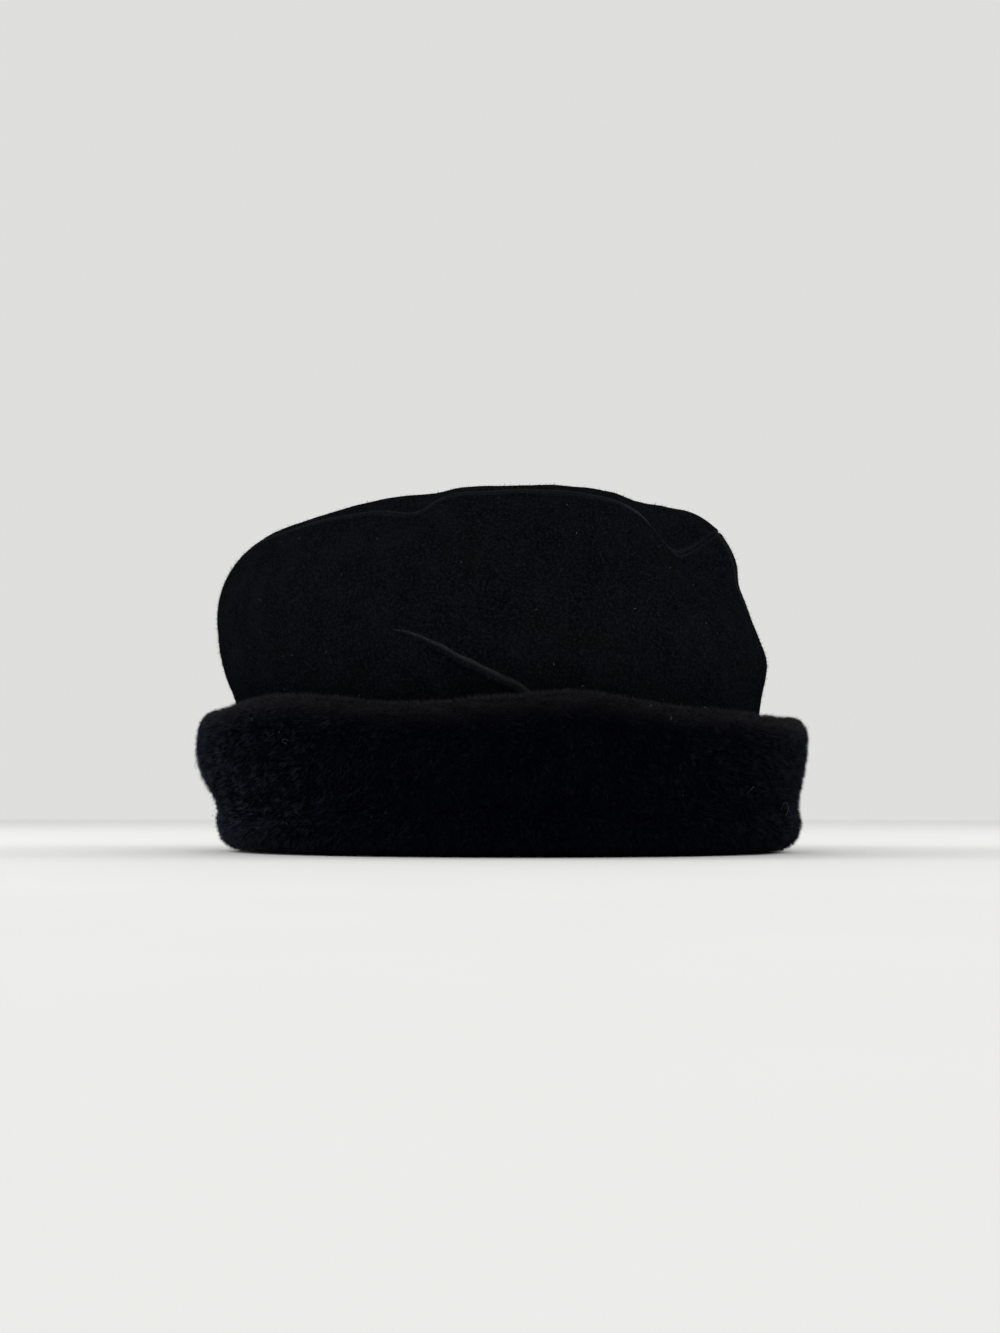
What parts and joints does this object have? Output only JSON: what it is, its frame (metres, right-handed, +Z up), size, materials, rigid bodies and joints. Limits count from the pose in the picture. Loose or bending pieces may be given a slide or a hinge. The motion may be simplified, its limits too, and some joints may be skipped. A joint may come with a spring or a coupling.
{
  "type": "shearling bucket hat",
  "caption": "Black shearling bucket hat: a suede crown with an oval tip over sheared wool, and a deep turned-up brim with its wool outside.",
  "frame": {"origin": "on the table, under the middle of the hat's bounding box", "axes": "+Z up, -Y towards the front of the hat, -X towards the wearer's right"},
  "size_m": [0.2462, 0.2766, 0.1549],
  "materials": {
    "suede": "matte black suede",
    "wool": "black sheared wool"
  },
  "bodies": {
    "root": {"crown_tip": "suede", "crown_side_right": "suede", "crown_side_left": "suede", "crown_tip_wool": "wool", "crown_side_right_wool": "wool", "crown_side_left_wool": "wool", "brim_wool": "wool", "brim_suede": "suede"}
  },
  "joints": []
}
